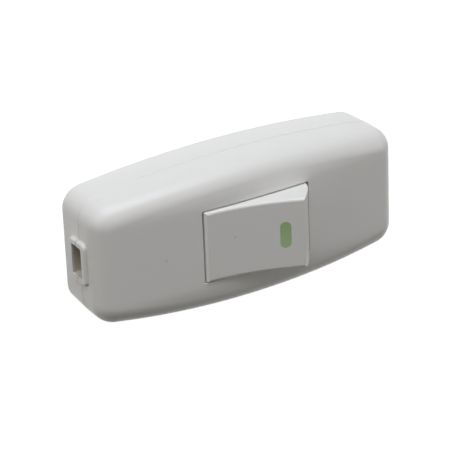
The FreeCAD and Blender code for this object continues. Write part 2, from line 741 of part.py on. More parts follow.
def moving_contact():
    """Silver rivet through the lever's contact end."""
    body = new_body("moving_contact")
    top = "lever_under + lever_thickness"
    head = post(body, "contact_head", "contact_radius", "-contact_place", "0",
                ("-contact_drop", "lever_under"))
    round_off(body, "contact_soft_edge", head, rim(head, min), "contact_edge")
    post(body, "contact_shank", "rivet_radius", "-contact_place", "0", ("0", top))
    post(body, "contact_upset", "contact_radius", "-contact_place", "0", (top, f"{top} + rivet_head"))
    return about_fulcrum(body)


def fixed_contact():
    """Silver rivet in the fixed terminal's strip."""
    body = new_body("fixed_contact")
    post(body, "fixed_head", "contact_radius", "-contact_place", "0", (STRIP_TOP, CONTACT_TOP))
    post(body, "fixed_shank", "rivet_radius", "-contact_place", "0", ("wall", CONTACT_TOP))
    return body


def terminal_block(body, name, sign, y):
    """Screw block of a terminal, with its threaded hole."""
    block(body, name, along(sign, "terminal_place - block_size / 2", "terminal_place + block_size / 2"),
          (f"{y} - block_size / 2", f"{y} + block_size / 2"), ("wall", BLOCK_TOP))
    post(body, name + "_thread", "terminal_screw_radius + thread_gap", f"{sign}terminal_place", y,
         ("0", "thickness"), cut=True)


def fixed_terminal():
    """Brass strip under the fixed contact, with the left screw block."""
    body = new_body("fixed_terminal")
    block(body, "fixed_strip", ("-terminal_place", "-contact_place + contact_radius"),
          ("-strip_width / 2", "strip_width / 2"), ("wall", STRIP_TOP))
    terminal_block(body, "fixed_block", "-", "live_offset")
    post(body, "fixed_hole", "rivet_radius + thread_gap", "-contact_place", "0", ("0", "2 * wall"),
         cut=True)
    return body


def pivot_terminal():
    """Brass strip with the lever's fulcrum ridge and side cheeks, and the right screw block."""
    body = new_body("pivot_terminal")
    block(body, "pivot_strip", ("-strip_end", "terminal_place"), ("-strip_width / 2", "strip_width / 2"),
          ("wall", STRIP_TOP))
    ridge = ("-lever_width / 2", "lever_width / 2")
    block(body, "ridge_web", ("-ridge_radius", "ridge_radius"), ridge, ("wall", "lever_height"))
    pin(body, "ridge_top", "ridge_radius", "0", ridge, "lever_height")
    inner = "(lever_width / 2 + cheek_gap)"
    outer = f"({inner} + cheek_thickness)"
    length = ("-cheek_length / 2", "cheek_length / 2")
    block(body, "cheek_foot", length, (f"-{outer}", outer), ("wall", STRIP_TOP))
    for side, low, high in (("near", f"-{outer}", f"-{inner}"), ("far", inner, outer)):
        block(body, f"cheek_{side}", length, (low, high), ("wall", "lever_height + cheek_rise"))
    terminal_block(body, "pivot_block", "", "live_offset")
    return body


def neutral_link():
    """Brass link with a screw block at each end, which joins the conductor that isn't switched."""
    body = new_body("neutral_link")
    block(body, "link_strip", ("-terminal_place", "terminal_place"),
          ("-link_offset - link_width / 2", "-link_offset + link_width / 2"), ("wall", STRIP_TOP))
    for end, sign in ENDS:
        terminal_block(body, f"link_block_{end}", sign, "-neutral_offset")
    return body


def screw(body, name, x, y, seat, shank, head, length, up=True):
    """Slotted screw with its head on a seat, and its shank down, or up where it is driven from below."""
    radius, height = head
    low, high = (seat, f"{seat} + {height}") if up else (f"{seat} - {height}", seat)
    post(body, name + "_head", radius, x, y, (low, high))
    ends = (f"{seat} - {length}", high) if up else (low, f"{seat} + {length}")
    post(body, name + "_shank", shank, x, y, ends)
    groove = (f"{high} - driver_depth", f"{high} + fit_gap")
    if not up:
        groove = (f"{low} - fit_gap", f"{low} + driver_depth")
    block(body, name + "_slot", (f"{x} - 2 * {radius}", f"{x} + 2 * {radius}"),
          (f"{y} - driver_slot / 2", f"{y} + driver_slot / 2"), groove, cut=True)


def terminal_screws(label, y):
    """Pair of terminal screws, one at each end."""
    body = new_body(label)
    for end, sign in ENDS:
        screw(body, f"{label}_{end}", f"{sign}terminal_place", y, WASHER_TOP, "terminal_screw_radius",
              ("terminal_head_radius", "terminal_head_height"), "terminal_screw_length")
    return body


def terminal_washers(label, y):
    """Pair of washers under the terminal screws."""
    body = new_body(label)
    for end, sign in ENDS:
        post(body, f"{label}_{end}", "washer_radius", f"{sign}terminal_place", y, (BLOCK_TOP, WASHER_TOP))
    for end, sign in ENDS:
        post(body, f"{label}_{end}_hole", "terminal_screw_radius + fit_gap", f"{sign}terminal_place", y,
             ("0", "thickness"), cut=True)
    return body


def cord_clamp(end, sign):
    """Clamp bar over the flex, with two screw holes and a gripping rib underneath."""
    body = new_body(f"cord_clamp_{end}")
    bar = along(sign, f"{CLAMP_PLACE} - clamp_length / 2", f"{CLAMP_PLACE} + clamp_length / 2")
    block(body, f"clamp_bar_{end}", bar, ("-clamp_half_width", "clamp_half_width"),
          (CLAMP_UNDER, CLAMP_TOP))
    pin(body, f"clamp_grip_{end}", "clamp_rib", f"{sign}{CLAMP_PLACE}",
        ("-slot_width / 2", "slot_width / 2"), CLAMP_UNDER)
    for side, x, y in clamp_screw_places(sign):
        post(body, f"clamp_hole_{end}_{side}", "clamp_screw_radius + fit_gap", x, y,
             ("0", "thickness"), cut=True)
    return body


def clamp_screws():
    """Four screws of the cord clamps."""
    body = new_body("clamp_screws")
    for end, sign in ENDS:
        for side, x, y in clamp_screw_places(sign):
            screw(body, f"clamp_screw_{end}_{side}", x, y, CLAMP_TOP, "clamp_screw_radius",
                  ("clamp_head_radius", "clamp_head_height"), "clamp_screw_length")
    return body


def case_screws():
    """Two screws that join the shells, driven from the back."""
    body = new_body("case_screws")
    for side, x, y in case_screw_places():
        screw(body, f"case_screw_{side}", x, y, HEAD_SEAT, "case_screw_radius",
              ("case_head_radius", "case_head_height"), "case_screw_length", up=False)
    return body


def main():
    """Build every piece, check it and write it out."""
    pieces = [
        front_cover(), back_cover(), rocker(), rocker_mark(), plunger(), plunger_spring(),
        contact_lever(), moving_contact(), fixed_contact(), fixed_terminal(), pivot_terminal(),
        terminal_screws("terminal_screws", "live_offset"),
        terminal_washers("terminal_washers", "live_offset"),
        neutral_link(),
        terminal_screws("neutral_screws", "-neutral_offset"),
        terminal_washers("neutral_washers", "-neutral_offset"),
        *(cord_clamp(end, sign) for end, sign in ENDS), clamp_screws(), case_screws(),
    ]
    doc.recompute()
    failed = [item.Label for item in doc.Objects if {"Invalid", "Error"} & set(item.State)]
    broken = [item.Label for item in pieces if item.Shape.isNull() or not item.Shape.isValid()]
    if failed or broken:
        raise SystemExit(f"failed features {failed}, broken pieces {broken}")
    os.makedirs("parts", exist_ok=True)
    for item in pieces:
        item.Shape.exportStep(f"parts/{item.Label}.step")
        print(f"{item.Label}: {len(item.Shape.Solids)} solids, {item.Shape.Volume:.2f} mm3")


if __name__ == "__main__":
    main()
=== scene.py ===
"""Looks of an inline cord switch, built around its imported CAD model.

The case and the rocker keep their CAD shapes and get moulded-plastic finishes. The screws and
the plunger's spring are rebuilt in Geometry Nodes with threads, driver slots and closed end coils.
"""
import json
import logging
import math
from dataclasses import dataclass
from enum import Enum
from typing import Any

import bpy
from mathutils import Matrix, Vector

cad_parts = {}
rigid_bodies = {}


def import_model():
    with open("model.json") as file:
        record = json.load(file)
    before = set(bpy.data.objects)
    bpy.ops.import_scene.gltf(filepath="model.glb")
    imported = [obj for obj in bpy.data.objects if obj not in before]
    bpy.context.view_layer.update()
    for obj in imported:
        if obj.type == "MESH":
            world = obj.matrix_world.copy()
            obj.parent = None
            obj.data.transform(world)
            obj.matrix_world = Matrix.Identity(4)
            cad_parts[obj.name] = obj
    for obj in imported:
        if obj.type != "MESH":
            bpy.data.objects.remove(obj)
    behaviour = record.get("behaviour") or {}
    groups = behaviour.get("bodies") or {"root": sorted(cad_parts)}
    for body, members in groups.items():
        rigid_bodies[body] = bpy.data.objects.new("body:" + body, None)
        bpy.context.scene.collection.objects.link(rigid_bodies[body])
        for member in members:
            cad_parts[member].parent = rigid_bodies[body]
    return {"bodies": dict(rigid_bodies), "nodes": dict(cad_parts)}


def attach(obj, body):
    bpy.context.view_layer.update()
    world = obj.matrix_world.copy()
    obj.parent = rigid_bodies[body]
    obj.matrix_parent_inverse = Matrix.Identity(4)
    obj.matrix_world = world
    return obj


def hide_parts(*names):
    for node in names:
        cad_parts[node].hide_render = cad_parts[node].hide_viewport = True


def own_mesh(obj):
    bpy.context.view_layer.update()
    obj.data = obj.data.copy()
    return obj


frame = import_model()

LOG = logging.getLogger("inline_cord_switch")
MM = 0.001
CAD_OBJECTS = {*frame["nodes"].values(), *frame["bodies"].values()}

Colour = tuple[float, float, float]
Point = tuple[float, float, float]


class Body(Enum):
    """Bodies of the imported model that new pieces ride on."""

    CASE = "case"
    ROCKER = "rocker"


class Slot(Enum):
    """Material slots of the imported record."""

    CASE = "case_plastic"
    ROCKER = "rocker_plastic"
    MARK = "mark_green"
    PLUNGER = "plunger_plastic"
    CLAMP = "clamp_plastic"
    SPRING = "spring_steel"
    BRASS = "brass"
    SILVER = "contact_silver"
    SCREW = "screw_steel"


@dataclass(frozen=True)
class Grain:
    """Fineness of a noise texture: its scale, in features per metre, and its layers of detail."""

    scale: float
    detail: float


# Moulded plastic
CLOUDS = Grain(scale=180.0, detail=3.0)
PEEL = Grain(scale=1500.0, detail=2.0)
SPECK_SCALE = 210.0
SPECK_DRAW = (0.93, 0.97)
SPECK_EDGE = (0.02, 0.06)
SPECK_DEPTH = 0.5
CLOUD_DULLING = 0.12

# Stains
RAGGED = Grain(scale=3000.0, detail=2.0)
STAIN_EDGE = (0.4, 1.0)

# Metals
STREAKS = Grain(scale=5200.0, detail=3.0)
STREAK_STRETCH = (0.08, 1.0, 1.0)
STREAK_DULLING = 0.25
TARNISH = Grain(scale=420.0, detail=5.0)
TARNISH_EDGE = (0.45, 0.75)
TARNISH_DULLING = 0.3

# Middle value of every noise texture
NOISE_MIDDLE = 0.5

# Fineness of the rebuilt meshes
HEAD_SIDES = 56
HEAD_RINGS = 6
TOP_RINGS = 8
CORE_SIDES = 40
THREAD_STEPS = 28
THREAD_SIDES = 4
COIL_STEPS = 200
WIRE_SIDES = 14
SHARP_EDGE = math.radians(35.0)

# Form of a screw: how late its dome falls, how long the slot's cutter is in head radii and how far
# above the tip its thread starts in pitches
DOME_POWER = 3.0
CUTTER_REACH = 3.0
THREAD_START = 0.6


def opaque(colour: Colour) -> tuple[float, float, float, float]:
    """Add full opacity to a colour."""
    return (*colour, 1.0)


WHITE = opaque((1.0, 1.0, 1.0))
MOULDED_WHITE = (0.82, 0.815, 0.80)


class Tree:
    """Small helper that adds, fills and links the nodes of one node tree."""

    def __init__(self, tree: bpy.types.NodeTree) -> None:
        """Keep the tree that the nodes go into."""
        self.tree = tree

    def add(self, kind: str, inputs: dict[Any, Any] | None = None, **settings: Any) -> bpy.types.Node:
        """Add a node and fill its inputs.

        Args:
            kind: The node's type name.
            inputs: Input name or index to a plain value or to an output socket to link.
            settings: Properties of the node itself.

        Returns:
            The new node.
        """
        node = self.tree.nodes.new(kind)
        for name, value in settings.items():
            setattr(node, name, value)
        for key, value in (inputs or {}).items():
            self.feed(node.inputs[key], value)
        return node

    def feed(self, socket: bpy.types.NodeSocket, value: Any) -> None:
        """Fill one input.

        Args:
            socket: The input.
            value: A plain value, or an output socket to link.
        """
        if isinstance(value, bpy.types.NodeSocket):
            self.tree.links.new(value, socket)
        else:
            socket.default_value = value

    def math(self, operation: str, *values: Any) -> bpy.types.NodeSocket:
        """Add a Math node, which works in either kind of tree, and return its output."""
        return self.add("ShaderNodeMath", dict(enumerate(values)), operation=operation).outputs[0]

    def plus(self, first: Any, second: Any) -> bpy.types.NodeSocket:
        """Add two numbers or sockets."""
        return self.math("ADD", first, second)

    def minus(self, first: Any, second: Any) -> bpy.types.NodeSocket:
        """Take the second number or socket from the first."""
        return self.math("SUBTRACT", first, second)

    def times(self, first: Any, second: Any) -> bpy.types.NodeSocket:
        """Multiply two numbers or sockets."""
        return self.math("MULTIPLY", first, second)

    def vector(self, x: Any = 0.0, y: Any = 0.0, z: Any = 0.0) -> bpy.types.NodeSocket:
        """Join three numbers or sockets into a vector."""
        return self.add("ShaderNodeCombineXYZ", {"X": x, "Y": y, "Z": z}).outputs[0]

    def spread(self, vector: bpy.types.NodeSocket) -> bpy.types.NodeOutputs:
        """Split a vector into its X, Y and Z."""
        return self.add("ShaderNodeSeparateXYZ", {0: vector}).outputs

    def object_place(self) -> bpy.types.NodeSocket:
        """Return the shaded point's place on its own object."""
        return self.add("ShaderNodeTexCoord").outputs["Object"]

    def ramp(self, value: bpy.types.NodeSocket, low: float, high: float) -> bpy.types.NodeSocket:
        """Map a value smoothly from 0 at low to 1 at high."""
        limits = {"Value": value, "From Min": low, "From Max": high}
        return self.add("ShaderNodeMapRange", limits, interpolation_type="SMOOTHSTEP").outputs["Result"]

    def noise(self, place: bpy.types.NodeSocket, grain: Grain, seed: Any = None) -> bpy.types.NodeSocket:
        """Add a noise texture.

        Args:
            place: Where to read it.
            grain: Its fineness.
            seed: Fourth coordinate, which gives each seed its own pattern; None leaves it out.

        Returns:
            A value between 0 and 1.
        """
        inputs = {"Vector": place, "Scale": grain.scale, "Detail": grain.detail}
        if seed is None:
            return self.add("ShaderNodeTexNoise", inputs).outputs["Fac"]
        return self.add("ShaderNodeTexNoise", {**inputs, "W": seed}, noise_dimensions="4D").outputs["Fac"]

    def blend(self, amount: Any, first: Any, second: Any) -> bpy.types.NodeSocket:
        """Mix two colours.

        Args:
            amount: Share of the second colour.
            first: Colour socket, or an opaque colour.
            second: Colour socket, or an opaque colour.

        Returns:
            The mixed colour.
        """
        node = self.add("ShaderNodeMix", {"Factor": amount}, data_type="RGBA")
        for name, value in (("A", first), ("B", second)):
            self.feed(next(own for own in node.inputs if own.name == name and own.type == "RGBA"), value)
        return next(own for own in node.outputs if own.type == "RGBA")


class ShaderGroup:
    """Shader node group with named inputs and outputs."""

    def __init__(self, name: str, inputs: dict[str, tuple[str, Any]], outputs: dict[str, str]) -> None:
        """Make an empty group.

        Args:
            name: Name of the group.
            inputs: Input name to its socket type and default value.
            outputs: Output name to its socket type.
        """
        self.group = bpy.data.node_groups.new(name, "ShaderNodeTree")
        for label, (kind, value) in inputs.items():
            self.group.interface.new_socket(label, in_out="INPUT", socket_type=kind).default_value = value
        for label, kind in outputs.items():
            self.group.interface.new_socket(label, in_out="OUTPUT", socket_type=kind)
        self.nodes = Tree(self.group)
        self.given = self.nodes.add("NodeGroupInput").outputs
        self.made = self.nodes.add("NodeGroupOutput").inputs

    def give(self, label: str, socket: bpy.types.NodeSocket) -> None:
        """Send a socket to one of the group's outputs."""
        self.group.links.new(socket, self.made[label])


def moulded_skin() -> bpy.types.NodeTree:
    """Build the surface of moulded plastic: faint mottling, orange peel and a few specks.

    Returns:
        Group with Colour, Roughness and Height outputs.
    """
    skin = ShaderGroup(
        "moulded_skin",
        {
            "Colour": ("NodeSocketColor", (0.8, 0.8, 0.8, 1.0)),
            "Speck Colour": ("NodeSocketColor", (0.3, 0.28, 0.25, 1.0)),
            "Mottling": ("NodeSocketFloat", 0.03),
            "Specks": ("NodeSocketFloat", 0.2),
            "Roughness": ("NodeSocketFloat", 0.35),
            "Seed": ("NodeSocketFloat", 0.0),
        },
        {"Colour": "NodeSocketColor", "Roughness": "NodeSocketFloat", "Height": "NodeSocketFloat"},
    )
    nodes, given = skin.nodes, skin.given
    place = nodes.object_place()
    cloud = nodes.minus(nodes.noise(place, CLOUDS, given["Seed"]), NOISE_MIDDLE)
    cells = nodes.add("ShaderNodeTexVoronoi", {"Vector": place, "W": given["Seed"], "Scale": SPECK_SCALE},
                      voronoi_dimensions="4D").outputs
    drawn = nodes.add("ShaderNodeSeparateColor", {"Color": cells["Color"]}).outputs["Red"]
    inside = nodes.minus(1.0, nodes.ramp(cells["Distance"], *SPECK_EDGE))
    speck = nodes.times(inside, nodes.ramp(drawn, *SPECK_DRAW))
    tone = nodes.plus(1.0, nodes.times(cloud, given["Mottling"]))
    tinted = nodes.add("ShaderNodeVectorMath", {0: given["Colour"], "Scale": tone}, operation="SCALE")
    dirt = nodes.times(speck, given["Specks"])
    skin.give("Colour", nodes.blend(dirt, tinted.outputs[0], given["Speck Colour"]))
    skin.give("Roughness", nodes.plus(given["Roughness"], nodes.times(cloud, CLOUD_DULLING)))
    peel = nodes.noise(place, PEEL, given["Seed"])
    skin.give("Height", nodes.minus(peel, nodes.times(speck, SPECK_DEPTH)))
    return skin.group


def stain_spot() -> bpy.types.NodeTree:
    """Build one small ragged stain round a point.

    Returns:
        Group with a Colour output.
    """
    spot = ShaderGroup(
        "stain_spot",
        {
            "Colour": ("NodeSocketColor", (0.8, 0.8, 0.8, 1.0)),
            "Stain": ("NodeSocketColor", (0.3, 0.28, 0.25, 1.0)),
            "Place": ("NodeSocketVector", (0.0, 0.0, 0.0)),
            "Size": ("NodeSocketFloat", 0.3 * MM),
            "Amount": ("NodeSocketFloat", 0.2),
        },
        {"Colour": "NodeSocketColor"},
    )
    nodes, given = spot.nodes, spot.given
    place = nodes.object_place()
    away = nodes.add("ShaderNodeVectorMath", {0: place, 1: given["Place"]}, operation="DISTANCE")
    ragged = nodes.plus(nodes.noise(place, RAGGED), NOISE_MIDDLE)
    near = nodes.math("DIVIDE", away.outputs["Value"], nodes.times(given["Size"], ragged))
    mask = nodes.times(nodes.minus(1.0, nodes.ramp(near, *STAIN_EDGE)), given["Amount"])
    spot.give("Colour", nodes.blend(mask, given["Colour"], given["Stain"]))
    return spot.group


def drawn_metal() -> bpy.types.NodeTree:
    """Build the surface of stamped or drawn metal: streaks along one way, and tarnish.

    Returns:
        Group with Colour, Roughness and Height outputs.
    """
    metal = ShaderGroup(
        "drawn_metal",
        {
            "Colour": ("NodeSocketColor", (0.6, 0.6, 0.6, 1.0)),
            "Tarnish": ("NodeSocketColor", (0.3, 0.25, 0.2, 1.0)),
            "Amount": ("NodeSocketFloat", 0.3),
            "Roughness": ("NodeSocketFloat", 0.3),
        },
        {"Colour": "NodeSocketColor", "Roughness": "NodeSocketFloat", "Height": "NodeSocketFloat"},
    )
    nodes, given = metal.nodes, metal.given
    place = nodes.object_place()
    along = nodes.add("ShaderNodeMapping", {"Vector": place, "Scale": STREAK_STRETCH}).outputs[0]
    streak = nodes.noise(along, STREAKS)
    stain = nodes.times(nodes.ramp(nodes.noise(place, TARNISH), *TARNISH_EDGE), given["Amount"])
    metal.give("Colour", nodes.blend(stain, given["Colour"], given["Tarnish"]))
    tarnished = nodes.times(stain, TARNISH_DULLING)
    streaked = nodes.times(nodes.minus(streak, NOISE_MIDDLE), STREAK_DULLING)
    metal.give("Roughness", nodes.plus(given["Roughness"], nodes.plus(tarnished, streaked)))
    metal.give("Height", streak)
    return metal.group


@dataclass(frozen=True)
class Finish:
    """What every finish has: a material slot, a colour and a roughness."""

    slot: Slot
    colour: Colour
    roughness: float

    def start(self) -> tuple[bpy.types.Material, Tree, bpy.types.Node]:
        """Make an empty material with a Principled shader.

        Returns:
            The material, a helper for its nodes and the shader node.
        """
        material = bpy.data.materials.new(f"{self.slot.value}_finish")
        material.use_nodes = True
        material.diffuse_color = opaque(self.colour)
        return material, Tree(material.node_tree), material.node_tree.nodes["Principled BSDF"]

    @staticmethod
    def coat(nodes: Tree, shader: bpy.types.Node, surface: bpy.types.NodeOutputs, depth: float) -> None:
        """Drive the shader's roughness and normal from a surface group.

        Args:
            nodes: Helper for the material's nodes.
            shader: The Principled shader.
            surface: The group's Roughness and Height outputs.
            depth: What a height of 1 measures, in metres.
        """
        bump = nodes.add("ShaderNodeBump", {"Height": surface["Height"], "Distance": depth, "Strength": 1.0})
        nodes.feed(shader.inputs["Roughness"], surface["Roughness"])
        nodes.feed(shader.inputs["Normal"], bump.outputs["Normal"])


@dataclass(frozen=True)
class Stain:
    """Small mark of wear at one place."""

    place: Point
    size: float
    amount: float


@dataclass(frozen=True)
class MouldedPlastic(Finish):
    """Injection-moulded plastic."""

    speck_colour: Colour = (0.35, 0.33, 0.30)
    mottling: float = 0.03
    specks: float = 0.25
    peel: float = 0.6e-6
    gloss: float = 0.40
    seed: float = 0.0
    stains: tuple[Stain, ...] = ()

    def toned(self, nodes: Tree, colour: bpy.types.NodeSocket) -> bpy.types.NodeSocket:
        """Change the skin's colour where this finish needs it; plain plastic keeps it."""
        return colour

    def material(self, skin: bpy.types.NodeTree, spot: bpy.types.NodeTree) -> bpy.types.Material:
        """Build the material.

        Args:
            skin: The shared moulded_skin group.
            spot: The shared stain_spot group.

        Returns:
            The finished material.
        """
        material, nodes, shader = self.start()
        surface = nodes.add("ShaderNodeGroup", {
            "Colour": opaque(self.colour), "Speck Colour": opaque(self.speck_colour),
            "Mottling": self.mottling, "Specks": self.specks,
            "Roughness": self.roughness, "Seed": self.seed}, node_tree=skin).outputs
        colour = self.toned(nodes, surface["Colour"])
        for stain in self.stains:
            worn = nodes.add("ShaderNodeGroup", {
                "Colour": colour, "Place": stain.place,
                "Size": stain.size, "Amount": stain.amount}, node_tree=spot)
            colour = worn.outputs["Colour"]
        nodes.feed(shader.inputs["Base Color"], colour)
        nodes.feed(shader.inputs["Specular IOR Level"], self.gloss)
        self.coat(nodes, shader, surface, self.peel)
        return material


@dataclass(frozen=True)
class CasePlastic(MouldedPlastic):
    """Case plastic, with painted shade along the joint of the shells and painted warm shade inside the cord
    slots.
    """

    joint_height: float = 6.5 * MM
    joint_core: float = 0.066 * MM
    joint_reach: float = 0.22 * MM
    joint_shade: float = 0.16
    slot_half_width: float = 2.93 * MM
    slot_half_depth: float = 1.68 * MM
    slot_start: float = 30.2 * MM
    slot_fade: float = 0.4 * MM
    # Painted shade: warm colour that stands for the shaded inside of the cord slots.
    slot_shade_colour: Colour = (0.66, 0.585, 0.465)
    slot_shade: float = 0.9
    # Painted shade: colour laid along the joint of the shells, where the gap between them is in shade.
    joint_shade_colour: Colour = (0.30, 0.28, 0.25)

    def toned(self, nodes: Tree, colour: bpy.types.NodeSocket) -> bpy.types.NodeSocket:
        """Paint shade along the joint and warm shade inside the slots.

        Args:
            nodes: Helper for the material's nodes.
            colour: Colour of the moulded skin.

        Returns:
            The changed colour.
        """
        place = nodes.spread(nodes.object_place())
        height = nodes.math("ABSOLUTE", nodes.minus(place["Z"], self.joint_height))
        # Painted shade along the parting line between the shells.
        joint = nodes.minus(1.0, nodes.ramp(height, self.joint_core, self.joint_reach))
        joint_shaded = nodes.blend(nodes.times(joint, self.joint_shade), colour, opaque(self.joint_shade_colour))
        # Painted shade inside the cord slots, fading in from the mouth of each slot.
        across = nodes.math("LESS_THAN", nodes.math("ABSOLUTE", place["Y"]), self.slot_half_width)
        deep = nodes.math("LESS_THAN", height, self.slot_half_depth)
        reach = nodes.math("ABSOLUTE", place["X"])
        inlet = nodes.ramp(reach, self.slot_start + self.slot_fade, self.slot_start)
        slot = nodes.times(nodes.times(across, deep), inlet)
        return nodes.blend(nodes.times(slot, self.slot_shade), joint_shaded, opaque(self.slot_shade_colour))


@dataclass(frozen=True)
class InlaidPlastic(MouldedPlastic):
    """Coloured inlay that grows paler towards its -Y end."""

    pale: Colour = (0.43, 0.58, 0.31)
    half_length: float = 2.3 * MM

    def toned(self, nodes: Tree, colour: bpy.types.NodeSocket) -> bpy.types.NodeSocket:
        """Blend to the paler colour along the inlay."""
        along = nodes.spread(nodes.object_place())["Y"]
        return nodes.blend(nodes.ramp(along, self.half_length, -self.half_length), colour, opaque(self.pale))


@dataclass(frozen=True)
class Metal(Finish):
    """Stamped, turned or drawn metal."""

    tarnish: Colour = (0.30, 0.26, 0.20)
    amount: float = 0.3
    streak: float = 0.8e-6

    def material(self, surface_group: bpy.types.NodeTree) -> bpy.types.Material:
        """Build the material.

        Args:
            surface_group: The shared drawn_metal group.

        Returns:
            The finished material.
        """
        material, nodes, shader = self.start()
        surface = nodes.add("ShaderNodeGroup", {
            "Colour": opaque(self.colour), "Tarnish": opaque(self.tarnish), "Amount": self.amount,
            "Roughness": self.roughness}, node_tree=surface_group).outputs
        nodes.feed(shader.inputs["Base Color"], surface["Colour"])
        nodes.feed(shader.inputs["Metallic"], 1.0)
        self.coat(nodes, shader, surface, self.streak)
        return material


PLASTICS = (
    CasePlastic(Slot.CASE, colour=MOULDED_WHITE, roughness=0.30, seed=1.0, stains=(
        Stain(place=(-17.58 * MM, -0.62 * MM, 14.08 * MM), size=0.35 * MM, amount=0.22),
        Stain(place=(-26.75 * MM, 11.07 * MM, 8.39 * MM), size=0.55 * MM, amount=0.10),
    )),
    MouldedPlastic(Slot.ROCKER, colour=MOULDED_WHITE, roughness=0.30, seed=2.0, stains=(
        Stain(place=(-5.07 * MM, 0.95 * MM, 15.65 * MM), size=0.35 * MM, amount=0.20),
    )),
    InlaidPlastic(Slot.MARK, colour=(0.345, 0.52, 0.24), roughness=0.40, speck_colour=(0.50, 0.64, 0.40),
                  mottling=0.10, seed=3.0),
    MouldedPlastic(Slot.PLUNGER, colour=(0.75, 0.74, 0.70), roughness=0.45, peel=0.3e-6, seed=4.0),
    MouldedPlastic(Slot.CLAMP, colour=(0.78, 0.78, 0.76), roughness=0.5, peel=1.2e-6, seed=5.0),
)
METALS = (
    Metal(Slot.SPRING, colour=(0.55, 0.55, 0.56), roughness=0.28, amount=0.15),
    Metal(Slot.BRASS, colour=(0.72, 0.53, 0.25), roughness=0.30, tarnish=(0.42, 0.26, 0.12), amount=0.5),
    Metal(Slot.SILVER, colour=(0.86, 0.85, 0.82), roughness=0.26, tarnish=(0.40, 0.37, 0.32), amount=0.35),
    Metal(Slot.SCREW, colour=(0.62, 0.62, 0.62), roughness=0.32, tarnish=(0.40, 0.38, 0.34), amount=0.25),
)


def make_finishes() -> dict[Slot, bpy.types.Material]:
    """Build every finish once.

    Returns:
        Slot to its material.
    """
    skin, spot, metal = moulded_skin(), stain_spot(), drawn_metal()
    finishes = {finish.slot: finish.material(skin, spot) for finish in PLASTICS}
    finishes.update({finish.slot: finish.material(metal) for finish in METALS})
    return finishes


class Recipe:
    """Geometry Nodes tree with named inputs that puts a finished shape on each of some points."""

    def __init__(self, name: str, sizes: dict[str, float]) -> None:
        """Make an empty tree, which can also be given a Turn and a Finish.

        Args:
            name: Name of the tree.
            sizes: Name of each number that can be set, to its default.
        """
        self.group = bpy.data.node_groups.new(name, "GeometryNodeTree")
        self.identifiers: dict[str, str] = {}
        self.ask("Geometry", "NodeSocketGeometry")
        for label, value in sizes.items():
            self.ask(label, "NodeSocketFloat").default_value = value
        self.ask("Turn", "NodeSocketVector")
        self.ask("Finish", "NodeSocketMaterial")
        self.group.interface.new_socket("Geometry", in_out="OUTPUT", socket_type="NodeSocketGeometry")
        self.nodes = Tree(self.group)
        self.given = self.nodes.add("NodeGroupInput").outputs

    def ask(self, label: str, kind: str) -> bpy.types.NodeTreeInterfaceSocket:
        """Add a named input and note its identifier.

        Args:
            label: Name of the input.
            kind: Its socket type.

        Returns:
            The new input.
        """
        socket = self.group.interface.new_socket(label, in_out="INPUT", socket_type=kind)
        self.identifiers[label] = socket.identifier
        return socket

    def lifted(self, geometry: bpy.types.NodeSocket, height: bpy.types.NodeSocket) -> bpy.types.NodeSocket:
        """Move geometry along Z."""
        lift = {"Geometry": geometry, "Translation": self.nodes.vector(z=height)}
        return self.nodes.add("GeometryNodeTransform", lift).outputs[0]

    def swept(
        self, curve: bpy.types.NodeSocket, sides: int, radius: bpy.types.NodeSocket
    ) -> bpy.types.NodeSocket:
        """Sweep a many-sided wire along a curve.

        Args:
            curve: The wire's middle line.
            sides: Number of its sides.
            radius: Its radius.

        Returns:
            The wire, closed at both ends.
        """
        ring = self.nodes.add("GeometryNodeCurvePrimitiveCircle", {"Resolution": sides, "Radius": radius})
        sweep = {"Curve": curve, "Profile Curve": ring.outputs["Curve"], "Fill Caps": True}
        return self.nodes.add("GeometryNodeCurveToMesh", sweep).outputs[0]

    def end(self, shape: bpy.types.NodeSocket) -> None:
        """Turn the shape, put it on each point, realize, smooth and paint it, and send it out.

        Args:
            shape: What the tree has made.
        """
        nodes, given = self.nodes, self.given
        turned = nodes.add("GeometryNodeTransform", {"Geometry": shape, "Rotation": given["Turn"]})
        copies = nodes.add("GeometryNodeInstanceOnPoints",
                           {"Points": given["Geometry"], "Instance": turned.outputs[0]})
        real = nodes.add("GeometryNodeRealizeInstances", {"Geometry": copies.outputs[0]}).outputs[0]
        smooth = nodes.add("GeometryNodeSetShadeSmooth", {"Geometry": real, "Shade Smooth": True}).outputs[0]
        angle = nodes.add("GeometryNodeInputMeshEdgeAngle").outputs["Unsigned Angle"]
        sharp = nodes.math("GREATER_THAN", angle, SHARP_EDGE)
        edges = {"Geometry": smooth, "Selection": sharp, "Shade Smooth": False}
        edged = nodes.add("GeometryNodeSetShadeSmooth", edges, domain="EDGE").outputs[0]
        painted = nodes.add("GeometryNodeSetMaterial", {"Geometry": edged, "Material": given["Finish"]})
        nodes.add("NodeGroupOutput", {"Geometry": painted.outputs[0]})

    def make(self, name: str, points: list[Point], values: dict[str, Any]) -> bpy.types.Object:
        """Run the tree on some points and keep the result as a plain mesh.

        Args:
            name: Name of the piece.
            points: Places that the tree works from, in metres.
            values: Input name to its value.

        Returns:
            The finished object, at the origin.
        """
        seed = bpy.data.meshes.new(f"{name}_places")
        seed.from_pydata(points, [], [])
        piece = bpy.data.objects.new(name, seed)
        bpy.context.collection.objects.link(piece)
        modifier = piece.modifiers.new("recipe", "NODES")
        modifier.node_group = self.group
        for label, value in values.items():
            modifier[self.identifiers[label]] = value
        bpy.context.view_layer.update()
        graph = bpy.context.evaluated_depsgraph_get()
        mesh = bpy.data.meshes.new_from_object(piece.evaluated_get(graph), depsgraph=graph)
        piece.modifiers.remove(modifier)
        piece.data = mesh
        mesh.name = name
        return piece


